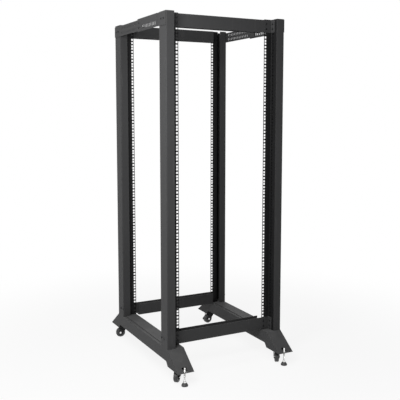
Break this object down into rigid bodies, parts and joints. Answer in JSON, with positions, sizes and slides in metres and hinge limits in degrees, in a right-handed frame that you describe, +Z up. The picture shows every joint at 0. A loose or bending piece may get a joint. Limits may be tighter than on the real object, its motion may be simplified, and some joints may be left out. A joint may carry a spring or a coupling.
{
  "type": "four post open frame rack",
  "caption": "Open-frame equipment rack of bent sheet posts with square-hole mounting rails, telescoping top rails, sloped feet, swivel casters and levelling feet.",
  "frame": {"origin": "centre of the footprint, on the floor under the levelling feet", "axes": "+X to the right seen from the front, +Y from the front to the back, +Z up"},
  "size_m": [0.62, 0.8322, 1.6403],
  "materials": {
    "frame_black": "charcoal black powder coat, fine texture, semi-matt",
    "caster_black": "black powder coat, satin",
    "wheel_black": "hard black plastic wheel, satin",
    "pad_black": "black rubber-like foot pad, matt",
    "zinc": "bright zinc plate"
  },
  "bodies": {
    "rack": {"base_beam_left": "frame_black", "base_beam_right": "frame_black", "base_strip_left": "frame_black", "base_strip_right": "frame_black", "bottom_bar_front": "frame_black", "bottom_bar_rear": "frame_black", "caster_plate_left_front": "caster_black", "caster_plate_left_rear": "caster_black", "caster_plate_right_front": "caster_black", "caster_plate_right_rear": "caster_black", "mounting_rail_left_front": "frame_black", "mounting_rail_left_rear": "frame_black", "mounting_rail_right_front": "frame_black", "mounting_rail_right_rear": "frame_black", "post_left_front": "frame_black", "post_left_rear": "frame_black", "post_right_front": "frame_black", "post_right_rear": "frame_black", "top_bar_front": "frame_black", "top_bar_rear": "frame_black", "top_rail_left_front": "frame_black", "top_rail_left_rear": "frame_black", "top_rail_right_front": "frame_black", "top_rail_right_rear": "frame_black"},
    "caster_left_front": {"caster_fork_left_front": "caster_black", "caster_axle_left_front": "zinc"},
    "wheel_left_front": {"caster_wheel_left_front": "wheel_black"},
    "leveller_left_front": {"leveller_stem_left_front": "zinc", "leveller_pad_left_front": "pad_black"},
    "caster_right_front": {"caster_fork_right_front": "caster_black", "caster_axle_right_front": "zinc"},
    "wheel_right_front": {"caster_wheel_right_front": "wheel_black"},
    "leveller_right_front": {"leveller_stem_right_front": "zinc", "leveller_pad_right_front": "pad_black"},
    "caster_left_rear": {"caster_fork_left_rear": "caster_black", "caster_axle_left_rear": "zinc"},
    "wheel_left_rear": {"caster_wheel_left_rear": "wheel_black"},
    "leveller_left_rear": {"leveller_stem_left_rear": "zinc", "leveller_pad_left_rear": "pad_black"},
    "caster_right_rear": {"caster_fork_right_rear": "caster_black", "caster_axle_right_rear": "zinc"},
    "wheel_right_rear": {"caster_wheel_right_rear": "wheel_black"},
    "leveller_right_rear": {"leveller_stem_right_rear": "zinc", "leveller_pad_right_rear": "pad_black"}
  },
  "joints": [
    {"name": "swivel_left_front", "type": "hinge", "parent": "rack", "child": "caster_left_front", "pos_m": [-0.2655, -0.336, 0.058], "axis": [0, 0, 1], "continuous": true},
    {"name": "roll_left_front", "type": "hinge", "parent": "caster_left_front", "child": "wheel_left_front", "pos_m": [-0.27964, -0.35014, 0.026], "axis": [0.7071, -0.7071, 0], "continuous": true},
    {"name": "swivel_right_front", "type": "hinge", "parent": "rack", "child": "caster_right_front", "pos_m": [0.2655, -0.336, 0.058], "axis": [0, 0, 1], "continuous": true},
    {"name": "roll_right_front", "type": "hinge", "parent": "caster_right_front", "child": "wheel_right_front", "pos_m": [0.2555, -0.35332, 0.026], "axis": [0.866, -0.5, 0], "continuous": true},
    {"name": "swivel_left_rear", "type": "hinge", "parent": "rack", "child": "caster_left_rear", "pos_m": [-0.2655, 0.336, 0.058], "axis": [0, 0, 1], "continuous": true},
    {"name": "roll_left_rear", "type": "hinge", "parent": "caster_left_rear", "child": "wheel_left_rear", "pos_m": [-0.28429, 0.34284, 0.026], "axis": [-0.342, -0.9397, 0], "continuous": true},
    {"name": "swivel_right_rear", "type": "hinge", "parent": "rack", "child": "caster_right_rear", "pos_m": [0.2655, 0.336, 0.058], "axis": [0, 0, 1], "continuous": true},
    {"name": "roll_right_rear", "type": "hinge", "parent": "caster_right_rear", "child": "wheel_right_rear", "pos_m": [0.24558, 0.33426, 0.026], "axis": [0.0872, -0.9962, 0], "continuous": true},
    {"name": "level_left_front", "type": "slide", "parent": "rack", "child": "leveller_left_front", "axis": [0, 0, 1], "range_m": [-0.015, 0.015]},
    {"name": "level_right_front", "type": "slide", "parent": "rack", "child": "leveller_right_front", "axis": [0, 0, 1], "range_m": [-0.015, 0.015]},
    {"name": "level_left_rear", "type": "slide", "parent": "rack", "child": "leveller_left_rear", "axis": [0, 0, 1], "range_m": [-0.015, 0.015]},
    {"name": "level_right_rear", "type": "slide", "parent": "rack", "child": "leveller_right_rear", "axis": [0, 0, 1], "range_m": [-0.015, 0.015]}
  ]
}
